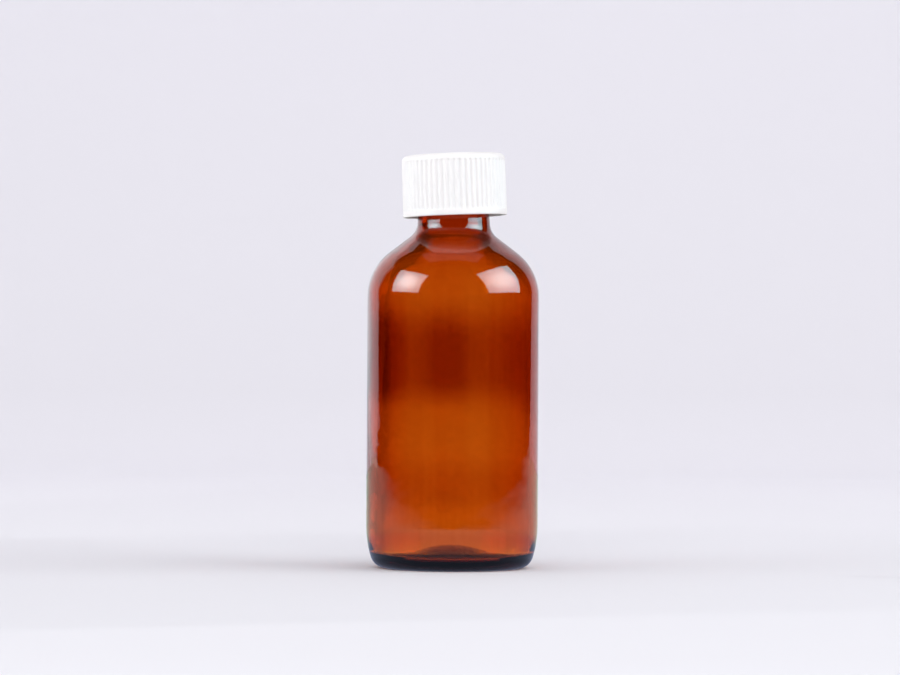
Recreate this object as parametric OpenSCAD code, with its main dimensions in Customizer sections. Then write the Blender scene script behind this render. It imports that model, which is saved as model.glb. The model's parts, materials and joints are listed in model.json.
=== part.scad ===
// Prescription vial: an amber glass Boston round with a push-and-turn child-resistant closure.
// Origin at the middle of the ring that the bottle stands on, +Z up, millimetres.
// +X is to the right and -Y is the front.

/* [Bottle] */
// Outer radius of the straight wall
body_r = 24.2; // [22:0.1:27]
// Thickness of the glass in the straight wall
wall_t = 2.2; // [1.6:0.1:2.6]
// Height of the bottle from the ring it stands on to its rim
bottle_h = 112; // [108:0.5:130]
// Thickness of the glass in the middle of the base
base_t = 5.5; // [4.5:0.1:6.5]

/* [Heel and base] */
// Radius of the small arc at the foot of the bottle
heel_r = 4.42; // [3.5:0.1:5]
// Radius of the long blend from the foot into the wall
heel_blend_r = 32; // [24:1:40]
// Angle at which the foot arc meets the blend, from the vertical
heel_turn = 16.3; // [12:0.1:18]
// Height of the push-up in the middle of the base
pushup_h = 2.8; // [2:0.1:3.2]
// Width of the flat ring that the bottle stands on
stand_w = 1.6; // [1:0.1:2.5]

/* [Shoulder and neck] */
// Radius of the shoulder's round
shoulder_r = 15.8; // [14:0.1:17]
// Slope of the cone under the neck, from the vertical
shoulder_turn = 52.7; // [48:0.1:56]
// Radius of the fillet where the shoulder runs into the neck
neck_fillet_r = 5; // [4:0.1:6]
// Radius at the foot of the neck, which tapers up to the finish
neck_r = 10.25; // [10.2:0.05:10.4]
// Depth of the neck's foot below the rim
neck_drop = 14.6; // [13:0.1:16]
// Radius of the mouth's bore
bore_r = 7.8; // [7:0.1:8]

/* [Thread, 22-400 finish] */
// Radius of the finish between the thread's turns
finish_r = 9.9; // [9.8:0.05:10]
// Radius over the glass thread
thread_r = 10.85; // [10.8:0.05:10.9]
// Rise of the thread in one turn
pitch = 3.175; // [3:0.025:3.3]
// Length of the glass thread in degrees
glass_thread_sweep = 400; // [360:10:430]
// Length of the inner cap's thread in degrees
cap_thread_sweep = 450; // [360:10:460]

/* [Inner cap] */
// Radius over the inner cap's wall
inner_cap_r = 12.15; // [12:0.05:12.2]
// Radius of the cap at the root of its thread
cap_root_r = 11.2; // [11.15:0.05:11.25]
// Radius inside the cap's thread
cap_crest_r = 10.25; // [10.2:0.05:10.3]
// Radius of the flange that holds the outer cap on
flange_r = 12.7; // [12.6:0.05:12.75]
// Thickness of the inner cap's top
inner_top_t = 0.9; // [0.8:0.05:0.95]

/* [Liner] */
// Radius of the liner disc
liner_r = 10.9; // [10.6:0.05:10.95]
// Thickness of the pulp backing
backing_t = 0.65; // [0.5:0.05:0.7]
// Thickness of the film that seals on the glass
facing_t = 0.15; // [0.1:0.05:0.2]

/* [Outer cap] */
// Radius of the outer cap at its lower edge
cap_r = 14.68; // [14.6:0.02:14.8]
// Height of the outer cap
cap_h = 17.4; // [17.3:0.1:17.6]
// How much the radius shrinks from the lower edge to the top
cap_draft = 0.1; // [0:0.02:0.2]
// Radius of the round at the cap's top edge
cap_edge_r = 1.7; // [1:0.1:2]
// Radius of the cap's bore
cap_bore_r = 13.25; // [13.2:0.05:13.3]
// Thickness of the outer cap's top
outer_top_t = 1; // [0.9:0.05:1.05]
// Number of grip grooves
groove_n = 58; // [40:1:60]
// Radius of a groove's round section
groove_r = 0.36; // [0.2:0.02:0.4]
// Depth of a groove
groove_d = 0.3; // [0.1:0.02:0.32]
// Plain band left below the grooves, and above them
band_h = 1.6; // [1:0.1:3]
// Angle at which the loose outer cap rests on the inner one
rock = 2.25; // [0:0.05:2.25]
// Depth below the rim of the point about which it rocks
rock_drop = 1.5; // [0:0.5:4]

/* [Push-and-turn lugs] */
// Number of drive lugs on each cap
lug_n = 8; // [4:4:8]
// Inner radius of the lugs
lug_in_r = 4.5; // [4:0.1:5]
// Outer radius of the lugs
lug_out_r = 7; // [6.5:0.1:7]
// Angle that one lug covers
lug_sweep = 14; // [10:1:16]
// Height of a lug
lug_h = 0.73; // [0.5:0.01:0.73]
// Number of spring fingers
finger_n = 8; // [6:1:12]
// Angle that one finger covers
finger_sweep = 18; // [10:1:25]
// Gap between the inner cap's top and the underside of the outer cap's top
cap_gap = 1.9; // [1.8:0.05:2]

/* [Hidden] */
$fn = 96;
glass = "#a8480a";
white = "#f4f2f5";
arc_step = 6;
turn_step = 10;
bury = 0.4;

// Heights of the closure, from the rim up
facing_top = bottle_h + facing_t;
backing_top = facing_top + backing_t;
inner_top = backing_top + inner_top_t;
outer_under = inner_top + cap_gap;
cap_top = outer_under + outer_top_t;
cap_bottom = cap_top - cap_h;
rock_z = bottle_h - rock_drop;

// Centres of the bottle's arcs
stand_r = body_r - heel_blend_r + (heel_blend_r - heel_r) * cos(heel_turn);
blend_z = heel_r + (heel_blend_r - heel_r) * sin(heel_turn);
straight_z = bottle_h - neck_drop;
cone_start_r = body_r - shoulder_r * (1 - cos(shoulder_turn));
cone_end_r = neck_r + neck_fillet_r * (1 - cos(shoulder_turn));
cone_end_z = straight_z - neck_fillet_r * sin(shoulder_turn);
cone_rise = (cone_start_r - cone_end_r) / tan(shoulder_turn);
shoulder_z = cone_end_z - cone_rise - shoulder_r * sin(shoulder_turn);

// Inside of the bottle
in_r = body_r - wall_t;
in_shoulder_r = shoulder_r - wall_t;
in_turn_more = 0.5;
in_turn = shoulder_turn + in_turn_more;
in_neck_fillet_r = 8.5;
in_cone_start_r = in_r - in_shoulder_r * (1 - cos(in_turn));
in_cone_start_z = shoulder_z + in_shoulder_r * sin(in_turn);
in_cone_end_r = bore_r + in_neck_fillet_r * (1 - cos(in_turn));
in_cone_end_z = in_cone_start_z + (in_cone_start_r - in_cone_end_r) / tan(in_turn);
bore_z = in_cone_end_z + in_neck_fillet_r * sin(in_turn);
floor_z = pushup_h + base_t;
floor_r = 37;
in_heel_r = 2.4;
in_heel_turn = asin((in_r - in_heel_r) / (floor_r + in_heel_r));
in_heel_z = floor_z - floor_r + (floor_r + in_heel_r) * cos(in_heel_turn);

// Rim of the mouth
rim_r = 0.8;
lip_r = 0.6;
finish_h = 11;
finish_z = bottle_h - finish_h;

// Thread ribs: half widths at the root and at the crest, and where the glass thread starts
rib_root = 0.95;
rib_crest = 0.4;
rib_min = 0.02;
rib_low_share = 0.25;
rib_thin_share = 0.35;
cap_rib_root = 0.75;
cap_rib_crest = 0.35;
run_out = 50;
glass_thread_drop = 6.3;
glass_thread_z = bottle_h - glass_thread_drop;
cap_thread_from = -90;
cap_thread_slack = 0.05;

// Inner cap
skirt_drop = 10.6;
skirt_z = bottle_h - skirt_drop;
flange_h = 0.9;
flange_edge = 0.3;
flange_blend = 0.25;
inner_edge_r = 0.6;

// Outer cap's snap bead
bead_r = 12.35;
bead_rise = 0.3;
bead_z = cap_bottom + bead_rise;
bead_h = 1.1;
bead_slope_low = 0.6;
bead_slope_high = 0.45;
rim_chamfer = 0.25;
groove_sides = 16;

// Spring fingers
finger_root_r = 12.9;
finger_ring_r = 11.7;
finger_tip_r = 8.3;
finger_t = 0.4;
finger_gap = 0.4;
finger_bend_out = 0.6;
finger_bend_in = 0.4;
finger_pad = 0.8;

// Points on an arc of radius r about c, from angle a to angle b
function arc(c, r, a, b) =
    let (n = max(2, ceil(abs(b - a) / arc_step)))
    [for (i = [0:n]) c + r * [cos(a + (b - a) * i / n), sin(a + (b - a) * i / n)]];

// Radius of the push-up's round, which runs from the standing ring to the middle of the base
function dome_r(r, h) = (r * r + h * h) / (2 * h);

// Share of its full height that a thread has at angle a, with a run-out at each end
function swell(a, sweep) = min(1, a / run_out, (sweep - a) / run_out);

module tilted() {
    translate([0, 0, rock_z]) rotate([0, -rock, 0]) translate([0, 0, -rock_z]) children();
}

// One helical rib from root_r to crest_r, with its base buried in the wall at buried_r
module helical_rib(root_r, crest_r, buried_r, half_root, half_crest, sweep, z0) {
    steps = ceil(sweep / turn_step);
    inward = crest_r < root_r;
    rings = [for (i = [0:steps])
        let (
            a = sweep * i / steps,
            s = max(rib_min, swell(a, sweep)),
            r = buried_r + (crest_r - buried_r) * (rib_low_share + (1 - rib_low_share) * s),
            k = rib_thin_share + (1 - rib_thin_share) * s,
            z = z0 + pitch * a / 360
        )
        [for (p = [[buried_r, -half_root * k], [r, -half_crest * k], [r, half_crest * k],
                   [buried_r, half_root * k]])
            [p[0] * cos(a), p[0] * sin(a), z + p[1]]]];
    points = [for (ring = rings) for (p = ring) p];
    sides = [for (i = [0:steps - 1]) for (j = [0:3])
        [4 * i + j, 4 * i + (j + 1) % 4, 4 * i + 4 + (j + 1) % 4, 4 * i + 4 + j]];
    ends = [[3, 2, 1, 0], [for (j = [0:3]) 4 * steps + j]];
    faces = concat(sides, ends);
    turned = [for (f = faces) [for (k = [len(f) - 1:-1:0]) f[k]]];
    // The ring of points runs the other way round when the rib points outward
    polyhedron(points = points, faces = inward ? turned : faces);
}

module bottle_profile() {
    dome = dome_r(stand_r - stand_w, pushup_h);
    dome_turn = asin((stand_r - stand_w) / dome);
    polygon(concat(
        arc([0, pushup_h - dome], dome, 90, 90 - dome_turn),
        arc([stand_r, heel_r], heel_r, -90, -heel_turn),
        arc([body_r - heel_blend_r, blend_z], heel_blend_r, -heel_turn, 0),
        arc([body_r - shoulder_r, shoulder_z], shoulder_r, 0, shoulder_turn),
        arc([neck_r + neck_fillet_r, straight_z], neck_fillet_r, 180 + shoulder_turn, 180),
        [[finish_r, finish_z]],
        arc([finish_r - rim_r, bottle_h - rim_r], rim_r, 0, 90),
        arc([bore_r + lip_r, bottle_h - lip_r], lip_r, 90, 180),
        arc([bore_r + in_neck_fillet_r, bore_z], in_neck_fillet_r, 180, 180 + in_turn),
        arc([in_r - in_shoulder_r, shoulder_z], in_shoulder_r, in_turn, 0),
        arc([in_r - in_heel_r, in_heel_z], in_heel_r, 0, -90 - in_heel_turn),
        arc([0, floor_z - floor_r], floor_r, 90 - in_heel_turn, 90)
    ));
}

module bottle() {
    color(glass) union() {
        rotate_extrude() bottle_profile();
        helical_rib(finish_r, thread_r, finish_r - bury, rib_root, rib_crest, glass_thread_sweep,
                    glass_thread_z);
    }
}

module liner_facing() {
    color("white") translate([0, 0, bottle_h]) cylinder(r = liner_r, h = facing_t);
}

module liner_backing() {
    color("#d8cdb8") translate([0, 0, facing_top]) cylinder(r = liner_r, h = backing_t);
}

// A ring of lugs standing on z, each a part of a ring
module lugs(z, start) {
    for (i = [0:lug_n - 1])
        rotate([0, 0, start + i * 360 / lug_n - lug_sweep / 2])
            translate([0, 0, z])
                rotate_extrude(angle = lug_sweep)
                    translate([lug_in_r, 0]) square([lug_out_r - lug_in_r, lug_h + bury]);
}

module inner_cap_profile() {
    polygon(concat(
        [[cap_root_r, skirt_z], [flange_r, skirt_z], [flange_r, skirt_z + flange_h - flange_edge],
         [inner_cap_r, skirt_z + flange_h + flange_blend]],
        arc([inner_cap_r - inner_edge_r, inner_top - inner_edge_r], inner_edge_r, 0, 90),
        [[0, inner_top], [0, backing_top], [cap_root_r, backing_top]]
    ));
}

module inner_cap() {
    z0 = glass_thread_z - pitch / 2 + cap_thread_slack + pitch * cap_thread_from / 360;
    color(white) union() {
        rotate_extrude() inner_cap_profile();
        rotate([0, 0, cap_thread_from])
            helical_rib(cap_root_r, cap_crest_r, cap_root_r + bury, cap_rib_root, cap_rib_crest,
                        cap_thread_sweep, z0);
        lugs(inner_top - bury, 0);
    }
}

module spring_fingers() {
    tip_z = inner_top + finger_gap;
    color("#e6e4ea") tilted() union() {
        rotate_extrude()
            translate([finger_ring_r, outer_under - finger_t])
                square([finger_root_r - finger_ring_r, finger_t]);
        for (i = [0:finger_n - 1])
            rotate([0, 0, i * 360 / finger_n - finger_sweep / 2])
                rotate_extrude(angle = finger_sweep)
                    polygon([
                        [finger_ring_r + finger_bend_out, outer_under - finger_t],
                        [finger_ring_r + finger_bend_out, outer_under],
                        [finger_ring_r - finger_bend_in, outer_under],
                        [finger_tip_r, tip_z + finger_t],
                        [finger_tip_r, tip_z],
                        [finger_tip_r + finger_pad, tip_z]
                    ]);
    }
}

module outer_cap_profile() {
    top_r = cap_r - cap_draft;
    polygon(concat(
        [[cap_bore_r, cap_bottom + rim_chamfer], [cap_bore_r + rim_chamfer, cap_bottom],
         [cap_r - rim_chamfer, cap_bottom], [cap_r, cap_bottom + rim_chamfer]],
        arc([top_r - cap_edge_r, cap_top - cap_edge_r], cap_edge_r, 0, 90),
        [[0, cap_top], [0, outer_under], [cap_bore_r, outer_under],
         [cap_bore_r, bead_z + bead_h], [bead_r, bead_z + bead_h - bead_slope_high],
         [bead_r, bead_z + bead_slope_low], [cap_bore_r, bead_z]]
    ));
}

module outer_cap() {
    groove_z = cap_bottom + band_h;
    color(white) tilted() union() {
        difference() {
            rotate_extrude() outer_cap_profile();
            for (i = [0:groove_n - 1])
                rotate([0, 0, (i + 0.5) * 360 / groove_n])
                    translate([cap_r - cap_draft / 2 + groove_r - groove_d, 0, groove_z])
                        cylinder(r = groove_r, h = cap_h - 2 * band_h, $fn = groove_sides);
        }
        lugs(outer_under - lug_h, 180 / lug_n);
    }
}

bottle();
liner_facing();
liner_backing();
inner_cap();
spring_fingers();
outer_cap();
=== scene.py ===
"""Amber Boston round medicine bottle with a push-and-turn closure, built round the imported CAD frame."""

import json
import math

import bmesh
import bpy
from mathutils import Matrix, Vector


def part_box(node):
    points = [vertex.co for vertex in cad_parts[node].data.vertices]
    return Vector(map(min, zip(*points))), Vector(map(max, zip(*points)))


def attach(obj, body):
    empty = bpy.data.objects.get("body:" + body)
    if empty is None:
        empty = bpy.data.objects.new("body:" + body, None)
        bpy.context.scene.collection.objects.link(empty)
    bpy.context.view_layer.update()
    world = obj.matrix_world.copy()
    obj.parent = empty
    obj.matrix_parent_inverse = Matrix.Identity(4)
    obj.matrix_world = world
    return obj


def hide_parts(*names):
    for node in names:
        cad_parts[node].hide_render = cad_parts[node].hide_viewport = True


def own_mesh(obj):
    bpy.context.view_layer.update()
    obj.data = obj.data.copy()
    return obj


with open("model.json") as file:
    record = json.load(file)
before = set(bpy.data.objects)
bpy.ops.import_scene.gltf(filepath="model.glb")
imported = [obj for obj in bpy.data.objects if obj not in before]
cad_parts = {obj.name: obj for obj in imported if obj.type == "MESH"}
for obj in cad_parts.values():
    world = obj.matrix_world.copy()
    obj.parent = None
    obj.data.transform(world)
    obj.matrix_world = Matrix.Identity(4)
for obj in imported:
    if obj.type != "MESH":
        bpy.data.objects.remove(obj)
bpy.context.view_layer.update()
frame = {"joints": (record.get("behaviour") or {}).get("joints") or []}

MM = 0.001
TAU = 2 * math.pi
# In millimetres: points closer than SAME are one point, and a point within TOUCH of a wall is on it
SAME = 1e-6
TOUCH = 0.01


# ---------------------------------------------------------------- sizes, in millimetres and degrees

_, bottle_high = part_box("bottle")
body_r = bottle_high.x / MM
bottle_h = bottle_high.z / MM
wall_t = 2.2
pushup_h = 2.8
base_t = 5.5
stand_w = 1.6
heel_r = 4.42
heel_blend_r = 32.0
heel_turn = 16.3
shoulder_r = 15.8
shoulder_turn = 52.7
neck_fillet_r = 5.0
neck_r = 10.25
neck_drop = 14.6
bore_r = 7.8
finish_r = 9.9
thread_r = 10.85
pitch = 3.175
rim_r = 0.8
lip_r = 0.6
finish_h = 11.0
thread_zone_h = 9.8
in_neck_fillet_r = 8.5
in_turn = 53.2
in_heel_r = 2.4
floor_r = 37.0

# The liner's two layers lie on the glass rim, and the inner cap's top lies on them
liner_r = 10.9
facing_t = 0.15
backing_t = 0.65
liner_edge = 0.03
facing_top = bottle_h + facing_t
backing_top = facing_top + backing_t

inner_cap_r = 12.15
cap_root_r = 11.2
cap_crest_r = 10.25
flange_r = 12.7
skirt_z = 101.4
skirt_chamfer = 0.2
flange_h = 0.9
flange_blend = 0.3
flange_edge = 0.25
flange_chamfer = 0.15
inner_edge_r = 0.6
inner_top_t = 0.9
inner_top = backing_top + inner_top_t

cap_r = 14.68
cap_top = 116.6
cap_h = 17.4
cap_draft = 0.1
cap_edge_r = 1.7
cap_middle_r = 2.0
cap_bore_r = 13.25
outer_top_t = 1.0
groove_n = 58
groove_d = 0.3
band_h = 1.6
cap_bottom = cap_top - cap_h
outer_under = cap_top - outer_top_t
cap_lip_r = 0.3
bore_lip_r = 0.25
# The bead inside the outer cap snaps over the inner cap's flange. Its heights are above the cap's lower edge
bead_r = 12.35
bead_low = 0.3
bead_crest_low = 0.9
bead_crest_high = 0.95
bead_high = 1.4
# Grooves fade out over rib_end, and rib_valley is half a groove's width as a share of the spacing
rib_end = 0.35
rib_valley = 0.42

lug_n = 8
lug_in_r = 4.5
lug_out_r = 7.0
lug_sweep = 14.0
lug_h = 0.73
lug_edge = 0.15
lug_bury = 0.3
finger_n = 8
finger_sweep = 18.0
finger_ring_in = 11.7
finger_ring_out = 12.9
finger_ring_edge = 0.1
finger_t = 0.4
finger_gap = 0.4
# The finger's section: its ends and bends, as distances from the axis
finger_root_r = 12.3
finger_fold_r = 11.3
finger_low_bend_r = 10.7
finger_high_bend_r = 9.8
finger_foot_r = 9.1
finger_tip_r = 8.3
finger_nose_r = 8.15
finger_bury = 0.02
finger_high_bow = 0.12
finger_low_bow = 0.1

thread_below_rim = 6.3
glass_thread_z = bottle_h - thread_below_rim
glass_thread_sweep = 400.0
cap_thread_sweep = 450.0
cap_thread_from = -90.0
cap_thread_slack = 0.05
run_out = 50.0
# Half widths of the thread ribs, at the root and at the crest
glass_rib = (0.95, 0.35)
cap_rib = (0.75, 0.3)

# How finely each surface is divided round the axis
BOTTLE_SEGMENTS = 224
INNER_CAP_SEGMENTS = 192
LINER_SEGMENTS = 128
FINGER_RING_SEGMENTS = 160
SEGMENTS_PER_RIB = 12

# How finely the profiles are divided: straight runs in millimetres, then arcs in degrees
WALL_STEP = 1.5
CAP_STEP = 1.0
CAP_BORE_STEP = 2.0
BORE_STEP = 0.8
CONE_STEP = 0.6
FINE_STEP = 0.3
GLASS_THREAD_STEP = 0.14
CAP_THREAD_STEP = 0.16
WIDE_ARC = 1
SHOULDER_ARC = 1.5
FILLET_ARC = 3
CAP_EDGE_ARC = 6
RIM_ARC = 10
EDGE_ARC = 15
CORNER_ARC = 30


# ---------------------------------------------------------------- mesh helpers


def arc(centre, radius, start, end, step):
    """Points (r, z) on an arc, from angle start to angle end in degrees."""
    count = max(2, math.ceil(abs(end - start) / step))
    points = []
    for i in range(count + 1):
        a = math.radians(start + (end - start) * i / count)
        points.append((centre[0] + radius * math.cos(a), centre[1] + radius * math.sin(a)))
    return points


def line(start, end, step):
    """Points from start to end, both included, no further apart than step."""
    length = math.dist(start, end)
    count = max(1, math.ceil(length / step))
    return [
        (
            start[0] + (end[0] - start[0]) * i / count,
            start[1] + (end[1] - start[1]) * i / count,
        )
        for i in range(count + 1)
    ]


def joined(*runs):
    """One profile from several runs of points, without the doubled ends."""
    points = []
    for run in runs:
        for p in run:
            if not points or math.dist(points[-1], p) > SAME:
                points.append(p)
    return points


def smooth(x):
    """Eases from 0 to 1 as x goes from 0 to 1, and stays level outside."""
    x = min(1.0, max(0.0, x))
    return x * x * (3 - 2 * x)


def new_object(name, bm):
    """A smooth-shaded object in the scene, made from a bmesh."""
    mesh = bpy.data.meshes.new(name)
    bmesh.ops.recalc_face_normals(bm, faces=bm.faces)
    bm.to_mesh(mesh)
    bm.free()
    mesh.polygons.foreach_set("use_smooth", [True] * len(mesh.polygons))
    obj = bpy.data.objects.new(name, mesh)
    bpy.context.scene.collection.objects.link(obj)
    return obj


def add_lathe(bm, profile, segments, displace=None):
    """Turns a profile that starts and ends on the axis, or closes on itself, into a closed surface.

    displace(i, r, z, angle) gives the point's own r and z, so ribs and threads are part of the surface.
    """
    closed = profile[0][0] > SAME
    rings = []
    for i, (r, z) in enumerate(profile):
        if r < SAME:
            rings.append([bm.verts.new((0, 0, z * MM))])
            continue
        ring = []
        for k in range(segments):
            a = TAU * k / segments
            rr, zz = displace(i, r, z, a) if displace else (r, z)
            ring.append(bm.verts.new((rr * math.cos(a) * MM, rr * math.sin(a) * MM, zz * MM)))
        rings.append(ring)
    pairs = list(zip(rings, rings[1:]))
    if closed:
        pairs.append((rings[-1], rings[0]))
    for low, high in pairs:
        for k in range(segments):
            j = (k + 1) % segments
            if len(low) == 1:
                bm.faces.new((low[0], high[k], high[j]))
            elif len(high) == 1:
                bm.faces.new((low[k], high[0], low[j]))
            else:
                bm.faces.new((low[k], high[k], high[j], low[j]))


def add_sector(bm, profile, start, sweep, steps=8):
    """A closed solid: a flat outline swept round part of a turn."""
    rings = []
    for s in range(steps + 1):
        a = math.radians(start + sweep * s / steps)
        across, along = math.cos(a) * MM, math.sin(a) * MM
        rings.append([bm.verts.new((r * across, r * along, z * MM)) for r, z in profile])
    n = len(profile)
    for low, high in zip(rings, rings[1:]):
        for k in range(n):
            bm.faces.new((low[k], low[(k + 1) % n], high[(k + 1) % n], high[k]))
    bm.faces.new(rings[0])
    bm.faces.new(list(reversed(rings[-1])))


def rounded_box_profile(r0, r1, z0, z1, edge):
    """A rectangle in r and z with small round corners."""
    return joined(
        arc((r1 - edge, z0 + edge), edge, -90, 0, CORNER_ARC),
        arc((r1 - edge, z1 - edge), edge, 0, 90, CORNER_ARC),
        arc((r0 + edge, z1 - edge), edge, 90, 180, CORNER_ARC),
        arc((r0 + edge, z0 + edge), edge, 180, 270, CORNER_ARC)[:-1],
    )


def helix_height(angle, z, start_z, sweep, half_root, half_crest):
    """Share of the thread's full height at a point of the wall, 0 between the turns."""
    best = 0.0
    a = math.degrees(angle) % 360
    while a <= sweep:
        d = abs(z - (start_z + pitch * a / 360))
        rise = smooth((half_root - d) / (half_root - half_crest))
        ends = smooth(min(a, sweep - a) / run_out)
        best = max(best, rise * ends)
        a += 360
    return best


# ---------------------------------------------------------------- bottle


def outer_profile():
    """The outside from the middle of the push-up to the rim, and the height where the shoulder starts."""
    stand_r = body_r - heel_blend_r + (heel_blend_r - heel_r) * math.cos(math.radians(heel_turn))
    blend_z = heel_r + (heel_blend_r - heel_r) * math.sin(math.radians(heel_turn))
    turn = math.radians(shoulder_turn)
    straight_z = bottle_h - neck_drop
    cone_start_r = body_r - shoulder_r * (1 - math.cos(turn))
    cone_end_r = neck_r + neck_fillet_r * (1 - math.cos(turn))
    cone_end_z = straight_z - neck_fillet_r * math.sin(turn)
    cone_rise = (cone_start_r - cone_end_r) / math.tan(turn)
    shoulder_z = cone_end_z - cone_rise - shoulder_r * math.sin(turn)
    ring_r = stand_r - stand_w
    dome = (ring_r**2 + pushup_h**2) / (2 * pushup_h)
    dome_turn = math.degrees(math.asin(ring_r / dome))
    finish_z = bottle_h - finish_h
    run = joined(
        arc((0, pushup_h - dome), dome, 90, 90 - dome_turn, WIDE_ARC),
        arc((stand_r, heel_r), heel_r, -90, -heel_turn, FILLET_ARC),
        arc((body_r - heel_blend_r, blend_z), heel_blend_r, -heel_turn, 0, WIDE_ARC),
        line((body_r, blend_z), (body_r, shoulder_z), WALL_STEP),
        arc((body_r - shoulder_r, shoulder_z), shoulder_r, 0, shoulder_turn, SHOULDER_ARC),
        line((cone_start_r, cone_end_z - cone_rise), (cone_end_r, cone_end_z), CONE_STEP),
        arc((neck_r + neck_fillet_r, straight_z), neck_fillet_r, 180 + shoulder_turn, 180, FILLET_ARC),
        line((neck_r, straight_z), (finish_r, finish_z), FINE_STEP),
        line((finish_r, finish_z), (finish_r, bottle_h - rim_r), GLASS_THREAD_STEP),
        arc((finish_r - rim_r, bottle_h - rim_r), rim_r, 0, 90, RIM_ARC),
    )
    return run, shoulder_z


def inner_profile(shoulder_z):
    """The inside from the rim down to the middle of the floor."""
    in_r = body_r - wall_t
    in_shoulder_r = shoulder_r - wall_t
    turn = math.radians(in_turn)
    cone_start_r = in_r - in_shoulder_r * (1 - math.cos(turn))
    cone_start_z = shoulder_z + in_shoulder_r * math.sin(turn)
    cone_end_r = bore_r + in_neck_fillet_r * (1 - math.cos(turn))
    cone_end_z = cone_start_z + (cone_start_r - cone_end_r) / math.tan(turn)
    bore_z = cone_end_z + in_neck_fillet_r * math.sin(turn)
    floor_z = pushup_h + base_t
    heel = math.asin((in_r - in_heel_r) / (floor_r + in_heel_r))
    heel_z = floor_z - floor_r + (floor_r + in_heel_r) * math.cos(heel)
    heel_deg = math.degrees(heel)
    return joined(
        arc((bore_r + lip_r, bottle_h - lip_r), lip_r, 90, 180, EDGE_ARC),
        line((bore_r, bottle_h - lip_r), (bore_r, bore_z), BORE_STEP),
        arc((bore_r + in_neck_fillet_r, bore_z), in_neck_fillet_r, 180, 180 + in_turn, FILLET_ARC),
        line((cone_end_r, cone_end_z), (cone_start_r, cone_start_z), CONE_STEP),
        arc((in_r - in_shoulder_r, shoulder_z), in_shoulder_r, in_turn, 0, SHOULDER_ARC),
        line((in_r, shoulder_z), (in_r, heel_z), WALL_STEP),
        arc((in_r - in_heel_r, heel_z), in_heel_r, 0, -90 - heel_deg, FILLET_ARC),
        arc((0, floor_z - floor_r), floor_r, 90 - heel_deg, 90, WIDE_ARC),
    )


def make_bottle():
    """The glass, as one closed surface: the outside, then over the rim and down the inside."""
    outside, shoulder_z = outer_profile()
    inside = inner_profile(shoulder_z)
    profile = outside + inside
    first_inside = len(outside)
    thread_low = bottle_h - thread_zone_h

    def displace(i, r, z, a):
        if i < first_inside:
            if z > thread_low and r > finish_r - TOUCH:
                share = helix_height(a, z, glass_thread_z, glass_thread_sweep, *glass_rib)
                return r + (thread_r - finish_r) * share, z
            return r, z
        return r - glass_wave(z, a, r), z

    bm = bmesh.new()
    add_lathe(bm, profile, BOTTLE_SEGMENTS, displace)
    return new_object("glass_bottle", bm)


# The wavy part of the wall, in millimetres: from low to high, fading in and out over wave_fade
wave_low = 12.0
wave_high = 92.0
wave_fade = 10.0
wave_reach = 6.0
# Thicker belts round the wall: (extra thickness, height, spread)
thick_belts = ((0.35, 59.0, 14.0), (0.1, 22.0, 8.0))
thin_rest = 0.08
# Thicker towards -X
lean_t = 0.15
lean_from = 8.0
lean_over = 16.0
# Upright streaks, wide and fine
streak_t = 0.08
streak_gap = 20.0
streak_shift = 2.0
ripple_t = 0.02
ripple_gap = 5.3
ripple_climb = 0.03


def glass_wave(z, a, r):
    """Blown glass is never even: how much thicker the wall is at this point of its inside."""
    if r < body_r - wall_t - wave_reach or z < wave_low:
        return 0.0
    x = r * math.cos(a)
    fade = smooth((z - wave_low) / wave_fade) * smooth((wave_high - z) / wave_fade)
    settle = -thin_rest
    for extra, height, spread in thick_belts:
        settle += extra * math.exp(-(((z - height) / spread) ** 2))
    lean = lean_t * smooth((-x - lean_from) / lean_over)
    streak = streak_t * math.cos(TAU * (x + streak_shift) / streak_gap)
    streak += ripple_t * math.cos(TAU * x / ripple_gap + ripple_climb * z + 2 * a)
    return fade * (settle + lean + streak)


# ---------------------------------------------------------------- closure


def lug_ring(bm, z0, z1, start):
    """The drive lugs between two heights, with one lug's middle at the start angle."""
    for i in range(lug_n):
        add_sector(
            bm,
            rounded_box_profile(lug_in_r, lug_out_r, z0, z1, lug_edge),
            start + i * 360 / lug_n - lug_sweep / 2,
            lug_sweep,
        )


def make_inner_cap():
    """The threaded cap that grips the neck, with its flange and drive lugs."""
    start_z = glass_thread_z - pitch / 2 + cap_thread_slack + pitch * cap_thread_from / 360
    blend_z = skirt_z + flange_h + flange_blend
    inside = joined(
        line((cap_root_r, backing_top), (cap_root_r, skirt_z + skirt_chamfer), CAP_THREAD_STEP),
        [(cap_root_r + skirt_chamfer, skirt_z)],
    )
    outside = joined(
        [(0, inner_top)],
        line((lug_in_r - 1, inner_top), (inner_cap_r - inner_edge_r, inner_top), CAP_STEP),
        arc((inner_cap_r - inner_edge_r, inner_top - inner_edge_r), inner_edge_r, 90, 0, EDGE_ARC),
        line((inner_cap_r, inner_top - inner_edge_r), (inner_cap_r, blend_z), CAP_STEP),
        [(flange_r, skirt_z + flange_h - flange_edge), (flange_r, skirt_z + flange_chamfer)],
        [(flange_r - flange_chamfer, skirt_z)],
    )
    profile = outside + list(reversed(inside)) + [(0, backing_top)]
    first_inside = len(outside)

    def displace(i, r, z, a):
        if i < first_inside or i == len(profile) - 1:
            return r, z
        turned = a - math.radians(cap_thread_from)
        share = helix_height(turned, z, start_z, cap_thread_sweep, *cap_rib)
        return r - (cap_root_r - cap_crest_r) * share, z

    bm = bmesh.new()
    add_lathe(bm, profile, INNER_CAP_SEGMENTS, displace)
    lug_ring(bm, inner_top - lug_bury, inner_top + lug_h, 0)
    return new_object("inner_cap_shell", bm)


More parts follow.
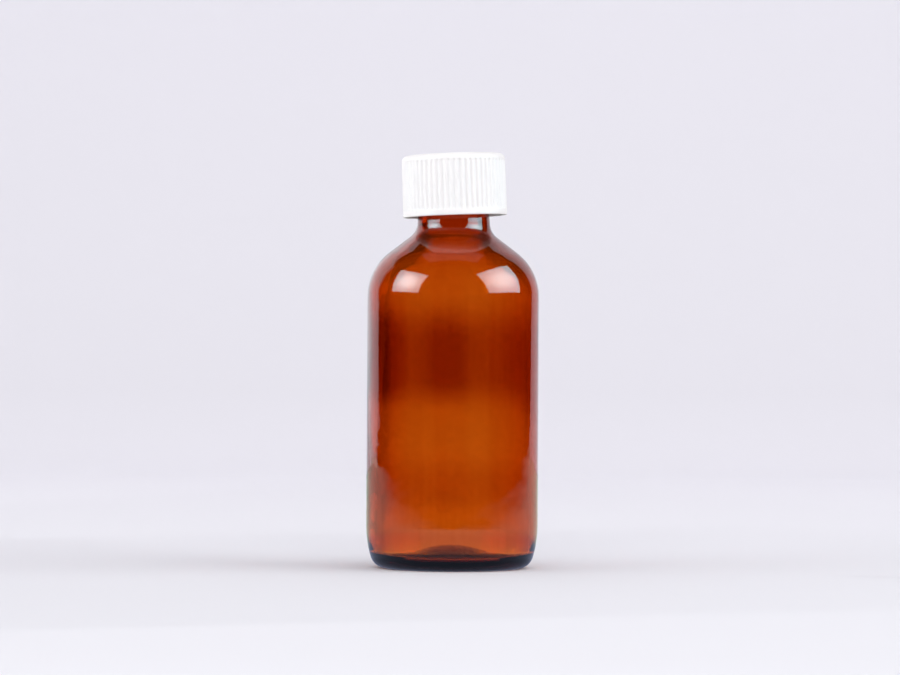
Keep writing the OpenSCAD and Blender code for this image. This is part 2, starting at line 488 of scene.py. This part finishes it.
def make_outer_cap():
    """The grooved cap that the hand turns, with its bead and lugs, leaning as the loose cap does."""
    top_r = cap_r - cap_draft
    wall_low = cap_bottom + cap_lip_r
    wall_high = cap_top - cap_edge_r
    outside = joined(
        [(0, cap_top)],
        line((cap_middle_r, cap_top), (top_r - cap_edge_r, cap_top), WALL_STEP),
        arc((top_r - cap_edge_r, cap_top - cap_edge_r), cap_edge_r, 90, 0, CAP_EDGE_ARC),
        line((top_r, wall_high), (cap_r, wall_low), FINE_STEP),
        arc((cap_r - cap_lip_r, wall_low), cap_lip_r, 0, -90, EDGE_ARC),
    )
    inside = joined(
        arc((cap_bore_r + bore_lip_r, cap_bottom + bore_lip_r), bore_lip_r, -90, -180, CORNER_ARC),
        [(cap_bore_r, cap_bottom + bead_low), (bead_r, cap_bottom + bead_crest_low)],
        [(bead_r, cap_bottom + bead_crest_high), (cap_bore_r, cap_bottom + bead_high)],
        line((cap_bore_r, cap_bottom + band_h), (cap_bore_r, outer_under - cap_lip_r), CAP_BORE_STEP),
        [(cap_bore_r - cap_lip_r, outer_under), (0, outer_under)],
    )
    profile = outside + inside
    first_inside = len(outside)
    rib_low = cap_bottom + band_h
    rib_high = cap_top - band_h

    def displace(i, r, z, a):
        if i >= first_inside or z <= rib_low or r < top_r - cap_edge_r:
            return r, z
        ends = smooth((z - rib_low) / rib_end) * smooth((rib_high - z) / rib_end)
        phase = (a / TAU * groove_n) % 1
        valley = smooth(1 - abs(phase - 0.5) / rib_valley)
        return r - groove_d * ends * valley, z

    bm = bmesh.new()
    add_lathe(bm, profile, groove_n * SEGMENTS_PER_RIB, displace)
    lug_ring(bm, outer_under - lug_h, outer_under + lug_bury, 180 / lug_n)
    bm.transform(tilt)
    return new_object("outer_cap_shell", bm)


def make_spring_fingers():
    """The ring of fingers under the outer cap's top that holds its lugs clear of the inner cap's."""
    tip_z = inner_top + finger_gap
    ring_low = outer_under - finger_t
    ring = rounded_box_profile(finger_ring_in, finger_ring_out, ring_low, outer_under, finger_ring_edge)
    bm = bmesh.new()
    add_lathe(bm, ring, FINGER_RING_SEGMENTS)
    finger = [
        (finger_root_r, ring_low + finger_bury),
        (finger_root_r, outer_under - finger_bury),
        (finger_fold_r, outer_under - finger_bury),
        (finger_high_bend_r, (outer_under + tip_z + finger_t) / 2 + finger_high_bow),
        (finger_tip_r, tip_z + finger_t),
        (finger_nose_r, tip_z + finger_t / 2),
        (finger_tip_r, tip_z),
        (finger_foot_r, tip_z),
        (finger_low_bend_r, (outer_under + tip_z) / 2 - finger_low_bow),
    ]
    for i in range(finger_n):
        add_sector(bm, finger, i * 360 / finger_n - finger_sweep / 2, finger_sweep)
    bm.transform(tilt)
    return new_object("spring_finger_ring", bm)


def make_liner(name, low, high):
    """A disc of the liner, with its edges a little broken."""
    profile = [
        (0, low),
        (liner_r - liner_edge, low),
        (liner_r, low + liner_edge),
        (liner_r, high - liner_edge),
        (liner_r - liner_edge, high),
        (0, high),
    ]
    bm = bmesh.new()
    add_lathe(bm, profile, LINER_SEGMENTS)
    return new_object(name, bm)


# ---------------------------------------------------------------- materials


class Nodes:
    """Short names for building a material's node tree."""

    def __init__(self, name):
        self.material = bpy.data.materials.new(name)
        self.material.use_nodes = True
        self.tree = self.material.node_tree
        self.shader = self.tree.nodes["Principled BSDF"]
        self.output = self.tree.nodes["Material Output"]

    def add(self, kind, **values):
        node = self.tree.nodes.new(kind)
        for key, value in values.items():
            if key in node.inputs:
                node.inputs[key].default_value = value
            else:
                setattr(node, key, value)
        return node

    def link(self, source, target):
        self.tree.links.new(source, target)

    def place(self):
        """The point being shaded, in the object's own space."""
        return self.add("ShaderNodeTexCoord").outputs["Object"]

    def split(self, vector):
        node = self.add("ShaderNodeSeparateXYZ")
        self.link(vector, node.inputs["Vector"])
        return node.outputs

    def calc(self, operation, *values, kind="ShaderNodeMath", result=0):
        """Arithmetic on sockets and plain numbers."""
        node = self.add(kind, operation=operation)
        for socket, value in zip(node.inputs, values):
            if isinstance(value, (float, tuple)):
                socket.default_value = value
            else:
                self.link(value, socket)
        return node.outputs[result]

    def noise(self, scale, detail=3.0, roughness=0.5):
        noise = self.add("ShaderNodeTexNoise", Scale=scale, Detail=detail, Roughness=roughness)
        self.link(self.place(), noise.inputs["Vector"])
        return noise.outputs["Fac"]

    def ramp(self, source, low, high):
        """Maps a value from 0..1 to low..high."""
        node = self.add("ShaderNodeMapRange")
        node.inputs["To Min"].default_value = low
        node.inputs["To Max"].default_value = high
        self.link(source, node.inputs["Value"])
        return node.outputs["Result"]

    def step(self, source, start, end, low=0.0, high=1.0):
        """Runs smoothly from low to high as the value goes from start to end."""
        node = self.add("ShaderNodeMapRange", interpolation_type="SMOOTHSTEP")
        node.inputs["From Min"].default_value = start
        node.inputs["From Max"].default_value = end
        node.inputs["To Min"].default_value = low
        node.inputs["To Max"].default_value = high
        self.link(source, node.inputs["Value"])
        return node.outputs["Result"]

    def bump(self, source, strength, distance):
        node = self.add("ShaderNodeBump", Strength=strength, Distance=distance)
        self.link(source, node.inputs["Height"])
        self.link(node.outputs["Normal"], self.shader.inputs["Normal"])

    def blend(self, source, low, high):
        node = self.add("ShaderNodeMix", data_type="RGBA")
        node.inputs[6].default_value = (*low, 1)
        node.inputs[7].default_value = (*high, 1)
        self.link(source, node.inputs[0])
        return node.outputs[2]

    def surface(self, **values):
        """Sets inputs of the surface; an underscore stands for a space in the input's name."""
        for key, value in values.items():
            self.shader.inputs[key.replace("_", " ")].default_value = value


# Where the colour is darker, from uneven glass and, at the neck, from painted shade: (none here, full here)
# in millimetres, then how much unless it is all of it
BELT_LOW = (43.5, 54.0)
BELT_HIGH = (77.0, 64.0)
BELT_DROOP = (17.5, 22.5, 5.0)
BELT_STREAK_MEAN = 0.8
BELT_STREAK_SWING = 0.2
BELT_LEFT = (-13.0, -20.0, 0.55)
BELT_RIGHT_PALER = (8.0, 14.0, 0.28)
LOWER_BELT_LOW = (12.0, 22.0, 0.3)
LOWER_BELT_HIGH = (34.0, 24.0)
# The darker neck is painted shade, standing in for the shade under the cap seen through the glass
NECK_PAINTED_SHADE = (89.0, 96.0, 0.95)
FINE_STREAK_SCALE = (420, 420, 14)
FINE_STREAK_RANGE = (-0.22, 0.3)
GLASS_SHADE = (0.70, 0.47, 0.4)
# The dark edge of the outline is painted shade: the colour is darkened and cooled where the glass turns away
# from the view, more on the left, in the belt and up the shoulder and neck. Its numbers: where it starts as
# the glass turns away, and where it fades
EDGE_FACING = (0.42, 0.56)
EDGE_FADE_RIGHT = (-6.0, 6.0, 0.8)
EDGE_BELT_SHARE = 0.35
EDGE_NECK = (78.0, 86.0)
EDGE_PAINTED_SHADE = (0.27, 0.38, 0.45, 1)
GLASS_DEPTH_COLOUR = (0.92, 0.605, 0.0, 1)
GLASS_DENSITY = 1400.0


def amber_glass():
    """Clear amber with a darker belt, a faint lower belt and upright streaks, as uneven glass shows, and
    painted shade at the neck and at the outline.
    """
    m = Nodes("amber_glass")
    place = m.place()
    x, _, z = m.split(place)

    def step(source, start, end, top=1.0):
        return m.step(source, start * MM, end * MM, 0.0, top)

    droop_from, droop_to, droop_by = BELT_DROOP
    low_z = m.calc("ADD", z, step(x, droop_from, droop_to, droop_by * MM))
    belt_height = m.calc("MULTIPLY", step(low_z, *BELT_LOW), step(z, *BELT_HIGH))
    phase = m.calc("MULTIPLY", m.calc("ADD", x, streak_shift * MM), TAU / (streak_gap * MM))
    streaked = m.calc("MULTIPLY_ADD", m.calc("COSINE", phase), BELT_STREAK_SWING, BELT_STREAK_MEAN)
    paler = m.calc("SUBTRACT", 1.0, step(x, *BELT_RIGHT_PALER))
    across = m.calc("ADD", m.calc("MULTIPLY", streaked, paler), step(x, *BELT_LEFT))
    belt = m.calc("MULTIPLY", belt_height, across)
    lower = m.calc("MULTIPLY", step(z, *LOWER_BELT_LOW), step(z, *LOWER_BELT_HIGH))

    stretch = m.add("ShaderNodeMapping")
    stretch.inputs["Scale"].default_value = FINE_STREAK_SCALE
    m.link(place, stretch.inputs["Vector"])
    grain = m.add("ShaderNodeTexNoise", Scale=1.0, Detail=2.0)
    m.link(stretch.outputs["Vector"], grain.inputs["Vector"])
    fine = m.ramp(grain.outputs["Fac"], *FINE_STREAK_RANGE)
    # Painted shade: the neck's colour is darkened below the cap
    neck = step(z, *NECK_PAINTED_SHADE)
    shade = m.calc("ADD", m.calc("ADD", belt, lower), m.calc("ADD", fine, neck))
    body = m.blend(shade, (1, 1, 1), GLASS_SHADE)

    # Painted shade at the outline: darker, cooler colour where the glass turns away from the view
    facing = m.add("ShaderNodeLayerWeight", Blend=0.5)
    edge = m.step(facing.outputs["Facing"], *EDGE_FACING)
    side = m.calc("SUBTRACT", 1.0, step(x, *EDGE_FADE_RIGHT))
    height = m.calc("MULTIPLY_ADD", belt_height, EDGE_BELT_SHARE, 1 - EDGE_BELT_SHARE)
    edge_share = m.calc("ADD", m.calc("MULTIPLY", side, height), step(z, *EDGE_NECK))
    edge_shade = m.add("ShaderNodeMix", data_type="RGBA", blend_type="MULTIPLY")
    m.link(m.calc("MULTIPLY", edge, edge_share), edge_shade.inputs[0])
    m.link(body, edge_shade.inputs[6])
    edge_shade.inputs[7].default_value = EDGE_PAINTED_SHADE
    m.link(edge_shade.outputs[2], m.shader.inputs["Base Color"])
    m.surface(Transmission_Weight=1.0, Roughness=0.0, IOR=1.52)
    m.bump(m.noise(scale=90.0, detail=2.0), strength=0.25, distance=0.0004)
    volume = m.add("ShaderNodeVolumeAbsorption", Color=GLASS_DEPTH_COLOUR, Density=GLASS_DENSITY)
    m.link(volume.outputs["Volume"], m.output.inputs["Volume"])
    return m.material


# How far light spreads inside the plastic, in metres
PLASTIC_SCATTER = 0.0018


def moulded_plastic(name, light, dark, roughness, grain):
    """White plastic with a faint mottle in its tone and a fine grain."""
    m = Nodes(name)
    tone = m.blend(m.noise(scale=140.0, detail=2.0), dark, light)
    m.link(tone, m.shader.inputs["Base Color"])
    m.link(m.ramp(m.noise(scale=600.0, detail=4.0), *roughness), m.shader.inputs["Roughness"])
    m.bump(m.noise(scale=grain, detail=3.0), strength=0.04, distance=0.00002)
    m.surface(IOR=1.49, Subsurface_Weight=0.3, Subsurface_Scale=1.0)
    m.surface(Subsurface_Radius=(PLASTIC_SCATTER,) * 3)
    return m.material


PULP_DARK = (0.55, 0.47, 0.36)
PULP_LIGHT = (0.8, 0.74, 0.62)


def pulp_board():
    """The liner's pressed pulp."""
    m = Nodes("pulp_board")
    fibres = m.noise(scale=900.0, detail=6.0, roughness=0.7)
    m.link(m.blend(fibres, PULP_DARK, PULP_LIGHT), m.shader.inputs["Base Color"])
    m.surface(Roughness=0.9)
    m.bump(m.noise(scale=1800.0, detail=5.0, roughness=0.7), strength=0.6, distance=0.00006)
    return m.material


FILM_DARK = (0.8, 0.8, 0.78)
FILM_LIGHT = (0.88, 0.88, 0.86)


def sealing_film():
    """The liner's slightly glossy film."""
    m = Nodes("sealing_film")
    m.link(m.blend(m.noise(scale=300.0), FILM_DARK, FILM_LIGHT), m.shader.inputs["Base Color"])
    m.link(m.ramp(m.noise(scale=500.0), low=0.12, high=0.22), m.shader.inputs["Roughness"])
    m.bump(m.noise(scale=700.0, detail=3.0), strength=0.2, distance=0.00003)
    return m.material


def paint(obj, material):
    """Gives the object this material alone."""
    obj.data.materials.clear()
    obj.data.materials.append(material)


# ---------------------------------------------------------------- the frame's axes


def find_joint(name):
    """The frame's own entry for a joint."""
    return next(j for j in frame["joints"] if j["name"] == name)


def tilt_matrix():
    """Turns upright closure parts into the loose outer cap's resting tilt, about the slip joint's pivot."""
    joint = find_joint("overcap_slip")
    pivot = Vector(joint["pos_m"])
    turn = Vector((0, 0, 1)).rotation_difference(Vector(joint["axis"]))
    return Matrix.Translation(pivot) @ turn.to_matrix().to_4x4() @ Matrix.Translation(-pivot)


tilt = tilt_matrix()

bottle = make_bottle()
paint(bottle, amber_glass())
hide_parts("bottle")
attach(bottle, "bottle")

facing = make_liner("liner_film_disc", bottle_h, facing_top)
paint(facing, sealing_film())
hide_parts("liner_facing")
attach(facing, "liner")

backing = make_liner("liner_pulp_disc", facing_top, backing_top)
paint(backing, pulp_board())
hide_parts("liner_backing")
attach(backing, "liner")

inner_cap = make_inner_cap()
inner_white = moulded_plastic(
    "inner_cap_plastic",
    light=(0.86, 0.86, 0.87),
    dark=(0.82, 0.82, 0.83),
    roughness=(0.35, 0.5),
    grain=2500.0,
)
paint(inner_cap, inner_white)
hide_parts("inner_cap")
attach(inner_cap, "inner_cap")

fingers = make_spring_fingers()
paint(fingers, inner_white)
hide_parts("spring_fingers")
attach(fingers, "spring_fingers")
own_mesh(fingers)

outer_cap = make_outer_cap()
outer_white = moulded_plastic(
    "outer_cap_plastic",
    light=(0.80, 0.78, 0.768),
    dark=(0.785, 0.765, 0.753),
    roughness=(0.38, 0.5),
    grain=3000.0,
)
paint(outer_cap, outer_white)
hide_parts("outer_cap")
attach(outer_cap, "outer_cap")


# ---------------------------------------------------------------- stage, lights and camera

# Camera: metres, millimetres of lens and sensor, degrees
CAMERA_DISTANCE = 1.045
HORIZON_H = 0.0612
CAMERA_LENS = 148.0
CAMERA_SENSOR = 36.0
CAMERA_PITCH_UP = 0.209
CAMERA_TURN_LEFT = 0.0465
CAMERA_ROLL = 0.35
LIGHT_BOUNCES = 16

# Stage, in metres
BACKDROP_Y = 1.0
BACKDROP_LEFT = -1.7
BACKDROP_RIGHT = 1.1
BACKDROP_H = 1.4
SWEEP_R = 0.25
SWEEP_STEPS = 12
FLOOR_FRONT = -1.4
FLOOR_SIDE = 1.7
GLOW_FRONT = -0.5
GLOW_SIDE = 1.1
GLOW_Z = -0.0004
# The paper's tones are painted shade: darker at the front of the floor and up the wall than at the bend, as
# the light falls
FRONT_TONE_Y = -0.3
WALL_TONE_Z = 0.04
FRONT_TONE = (0.745, 0.736, 0.765)
BEND_TONE = (0.885, 0.875, 0.915)
WALL_TONE = (0.84, 0.829, 0.867)
ROOM_R = 3.0
ROOM_DARK = (0.26, 0.25, 0.27)
ROOM_LIGHT = (0.3, 0.29, 0.31)
WORLD_COLOUR = (0.97, 0.96, 1.0, 1)
WORLD_STRENGTH = 0.75

# A painted reflection of the floor: a glowing sheet that only mirrors show, in place of the paper. Its
# edges: (normal that points in, a point on the edge, softness)
GLOW_EDGES = (
    ((0.0, 1.0), (0.0, -0.2), 0.035),
    ((0.636, 0.772), (-0.38, -0.24), 0.2),
    ((-0.79, 0.615), (0.33, -0.2), 0.2),
)
# How fast the front edge softens with the distance to the side
GLOW_SIDE_SPREAD = 18.0
# Distances from the bottle's axis: where the colour changes from the painted bluish reflection by the
# bottle, and where a painted contact shadow dims the sheet by the base
GLOW_NEAR_TO_FAR = (0.04, 0.14)
CONTACT_SHADOW = (0.022, 0.034, 0.6)
GLOW_NEAR_COLOUR = (0.33, 0.37, 0.54)
GLOW_FAR_COLOUR = (0.7, 0.77, 0.67)

# Softboxes: azimuth, elevation, distance from the bottle, width, height
LEFT_PANEL = (-68, 24, 0.8, 0.66, 0.52)
RIGHT_PANEL = (75, 27, 0.8, 0.84, 0.60)
FRONT_PANEL = (0, 24, 1.1, 0.9, 0.6)
REAR_PANEL = (-142, 14, 0.9, 0.8, 0.8)
CEILING_PANEL = (180, 88, 0.8, 0.7, 0.42)
LIGHT_TARGET_H = 0.08
GLINT_RADIANCE = 13.0
# A softbox's middle, and how far from it the cloth starts and ends fading, as shares of its size
CLOTH_MIDDLE = (0.5, 0.5, 0)
CLOTH_FADE = (0.05, 0.55)


def stage_paper(name, axis, start, end, start_tone, end_tone):
    """Pale paper with painted shade: its tone runs from one end of a stretch along an axis to the other,
    standing in for how the light falls on paper of one colour.
    """
    m = Nodes(name)
    share = m.add("ShaderNodeMapRange")
    share.inputs["From Min"].default_value = start
    share.inputs["From Max"].default_value = end
    m.link(m.split(m.place())[axis], share.inputs["Value"])
    m.link(m.blend(share.outputs["Result"], start_tone, end_tone), m.shader.inputs["Base Color"])
    m.bump(m.noise(scale=900.0), strength=0.1, distance=0.00005)
    m.surface(Roughness=0.95, Specular_IOR_Level=0.1)
    return m.material


def softer_at_sides(m, place, inward):
    """Spreads an edge's fade out with the distance from the middle."""
    aside = m.calc("ABSOLUTE", m.split(place)["X"])
    spread = m.calc("MULTIPLY_ADD", aside, GLOW_SIDE_SPREAD, 1.0)
    return m.calc("DIVIDE", inward, spread)


def painted_floor_reflection():
    """A painted reflection of the floor, glowing, for the glass and the cap to mirror: pale by the bottle,
    dark past the paper's edges, bluish near the base and dimmed there by a painted contact shadow.
    """
    m = Nodes("painted_floor_glow")
    place = m.place()
    share = None
    for normal, corner, soft in GLOW_EDGES:
        away = m.calc("SUBTRACT", place, (*corner, 0), kind="ShaderNodeVectorMath", result="Vector")
        inward = m.calc("DOT_PRODUCT", away, (*normal, 0), kind="ShaderNodeVectorMath", result="Value")
        if share is None:
            share = m.step(softer_at_sides(m, place, inward), -soft, soft)
        else:
            share = m.calc("MULTIPLY", share, m.step(inward, -soft, soft))
    m.link(share, m.shader.inputs["Alpha"])

    # Painted reflection colour: bluish by the bottle, and dimmed round the base by a painted contact shadow
    reach = m.calc("LENGTH", place, kind="ShaderNodeVectorMath", result="Value")
    colour = m.blend(m.step(reach, *GLOW_NEAR_TO_FAR), GLOW_NEAR_COLOUR, GLOW_FAR_COLOUR)
    m.link(colour, m.shader.inputs["Emission Color"])
    m.link(m.step(reach, *CONTACT_SHADOW), m.shader.inputs["Emission Strength"])
    m.surface(Base_Color=(0, 0, 0, 1), Specular_IOR_Level=0.0)
    return m.material


def make_sheet(name, outline, x0, x1, material):
    """A strip of paper: the (y, z) outline swept from x0 to x1."""
    bm = bmesh.new()
    rows = [[bm.verts.new((x, y, z)) for x in (x0, x1)] for y, z in outline]
    for low, high in zip(rows, rows[1:]):
        bm.faces.new((low[0], low[1], high[1], high[0]))
    obj = new_object(name, bm)
    obj.data.materials.append(material)
    return obj


sweep_start = BACKDROP_Y - SWEEP_R
sweep = []
for i in range(SWEEP_STEPS + 1):
    a = math.radians(90 * i / SWEEP_STEPS)
    sweep.append((sweep_start + SWEEP_R * math.sin(a), SWEEP_R - SWEEP_R * math.cos(a)))
sweep.append((BACKDROP_Y, BACKDROP_H))
backdrop_paper = stage_paper("backdrop_paper", "Z", 0.0, WALL_TONE_Z, BEND_TONE, WALL_TONE)
make_sheet("backdrop", sweep, BACKDROP_LEFT, BACKDROP_RIGHT, backdrop_paper)
# The floor fills the view but stays out of the reflections, where the glow sheet, a painted reflection of
# the floor, takes its place
floor_paper = stage_paper("floor_paper", "Y", FRONT_TONE_Y, sweep_start, FRONT_TONE, BEND_TONE)
floor = make_sheet(
    "floor", [(FLOOR_FRONT, 0.0), (sweep_start, 0.0)], -FLOOR_SIDE, FLOOR_SIDE, floor_paper
)
floor.visible_glossy = False
glow_outline = [(GLOW_FRONT, GLOW_Z), (sweep_start, GLOW_Z)]
glow = make_sheet("floor_glow", glow_outline, -GLOW_SIDE, GLOW_SIDE, painted_floor_reflection())
glow.visible_camera = False
glow.visible_diffuse = False
glow.visible_transmission = False
glow.visible_shadow = False


def dim_room():
    """What the glass shows where it bends the view out into the room."""
    m = Nodes("room_wall")
    m.surface(Base_Color=(0, 0, 0, 1), Emission_Strength=1.0)
    m.link(m.blend(m.noise(scale=2.0), ROOM_DARK, ROOM_LIGHT), m.shader.inputs["Emission Color"])
    bm = bmesh.new()
    bmesh.ops.create_icosphere(bm, subdivisions=3, radius=ROOM_R)
    obj = new_object("room", bm)
    obj.data.materials.append(m.material)
    obj.visible_camera = False
    obj.visible_glossy = False
    obj.visible_diffuse = False
    obj.visible_shadow = False


dim_room()


def softbox(name, azimuth, elevation, distance, width, height, radiance, glossy, diffuse):
    """A rectangular light that faces the bottle. Azimuth 0 is towards the camera, 90 is +X."""
    az, el = math.radians(azimuth), math.radians(elevation)
    light = bpy.data.lights.new(name, "AREA")
    light.shape = "RECTANGLE"
    light.size = width
    light.size_y = height
    light.energy = radiance * math.pi * width * height
    obj = bpy.data.objects.new(name, light)
    target = Vector((0, 0, LIGHT_TARGET_H))
    out = Vector((math.sin(az) * math.cos(el), -math.cos(az) * math.cos(el), math.sin(el)))
    obj.location = target + out * distance
    obj.rotation_euler = out.to_track_quat("Z", "Y").to_euler()
    obj.visible_glossy = glossy
    obj.visible_transmission = glossy
    obj.visible_diffuse = diffuse
    bpy.context.scene.collection.objects.link(obj)
    return obj


def bright_middle(panel, middle, rim):
    """Makes a softbox brightest in the middle, as a lamp behind cloth is."""
    light = panel.data
    light.use_nodes = True
    nodes = light.node_tree.nodes
    place = nodes.new("ShaderNodeNewGeometry")
    away = nodes.new("ShaderNodeVectorMath")
    away.operation = "DISTANCE"
    away.inputs[1].default_value = CLOTH_MIDDLE
    share = nodes.new("ShaderNodeMapRange")
    share.interpolation_type = "SMOOTHSTEP"
    share.inputs["From Min"].default_value, share.inputs["From Max"].default_value = CLOTH_FADE
    cloth = nodes.new("ShaderNodeMix")
    cloth.data_type = "RGBA"
    cloth.inputs[6].default_value = (*middle, 1)
    cloth.inputs[7].default_value = (*rim, 1)
    link = light.node_tree.links.new
    link(place.outputs["Parametric"], away.inputs[0])
    link(away.outputs["Value"], share.inputs["Value"])
    link(share.outputs["Result"], cloth.inputs[0])
    link(cloth.outputs[2], nodes["Emission"].inputs["Color"])


# Each main softbox is two lights: one that the glass and the cap mirror, one that lights surfaces
left_glint = softbox("left_panel_glint", *LEFT_PANEL, GLINT_RADIANCE, glossy=True, diffuse=False)
bright_middle(left_glint, middle=(0.66, 1.06, 1.14), rim=(0.26, 0.42, 0.46))
right_glint = softbox("right_panel_glint", *RIGHT_PANEL, GLINT_RADIANCE, glossy=True, diffuse=False)
bright_middle(right_glint, middle=(0.62, 0.94, 1.0), rim=(0.26, 0.44, 0.5))
softbox("left_panel", *LEFT_PANEL, radiance=4.2, glossy=False, diffuse=True)
softbox("right_panel", *RIGHT_PANEL, radiance=3.5, glossy=False, diffuse=True)
softbox("front_fill", *FRONT_PANEL, radiance=2.0, glossy=False, diffuse=True)
softbox("rear_left_glow", *REAR_PANEL, radiance=0.5, glossy=True, diffuse=False)
softbox("ceiling_glow", *CEILING_PANEL, radiance=0.3, glossy=True, diffuse=False)

world = bpy.data.worlds.new("room")
world.use_nodes = True
background = world.node_tree.nodes["Background"]
background.inputs["Color"].default_value = WORLD_COLOUR
background.inputs["Strength"].default_value = WORLD_STRENGTH
world.cycles_visibility.glossy = False
world.cycles_visibility.transmission = False
world.cycles_visibility.camera = False
bpy.context.scene.world = world

camera_data = bpy.data.cameras.new("camera")
camera_data.sensor_width = CAMERA_SENSOR
camera_data.lens = CAMERA_LENS
camera = bpy.data.objects.new("camera", camera_data)
bpy.context.scene.collection.objects.link(camera)
bpy.context.scene.camera = camera
camera_place = Vector((0, -CAMERA_DISTANCE, HORIZON_H))
turn_left = Matrix.Rotation(math.radians(CAMERA_TURN_LEFT), 4, "Z")
pitch_up = Matrix.Rotation(math.radians(90 + CAMERA_PITCH_UP), 4, "X")
roll = Matrix.Rotation(math.radians(CAMERA_ROLL), 4, "Z")
camera.matrix_world = Matrix.Translation(camera_place) @ turn_left @ pitch_up @ roll

scene = bpy.context.scene
scene.view_settings.view_transform = "Standard"
scene.cycles.use_denoising = True
scene.cycles.max_bounces = LIGHT_BOUNCES
scene.cycles.transmission_bounces = LIGHT_BOUNCES
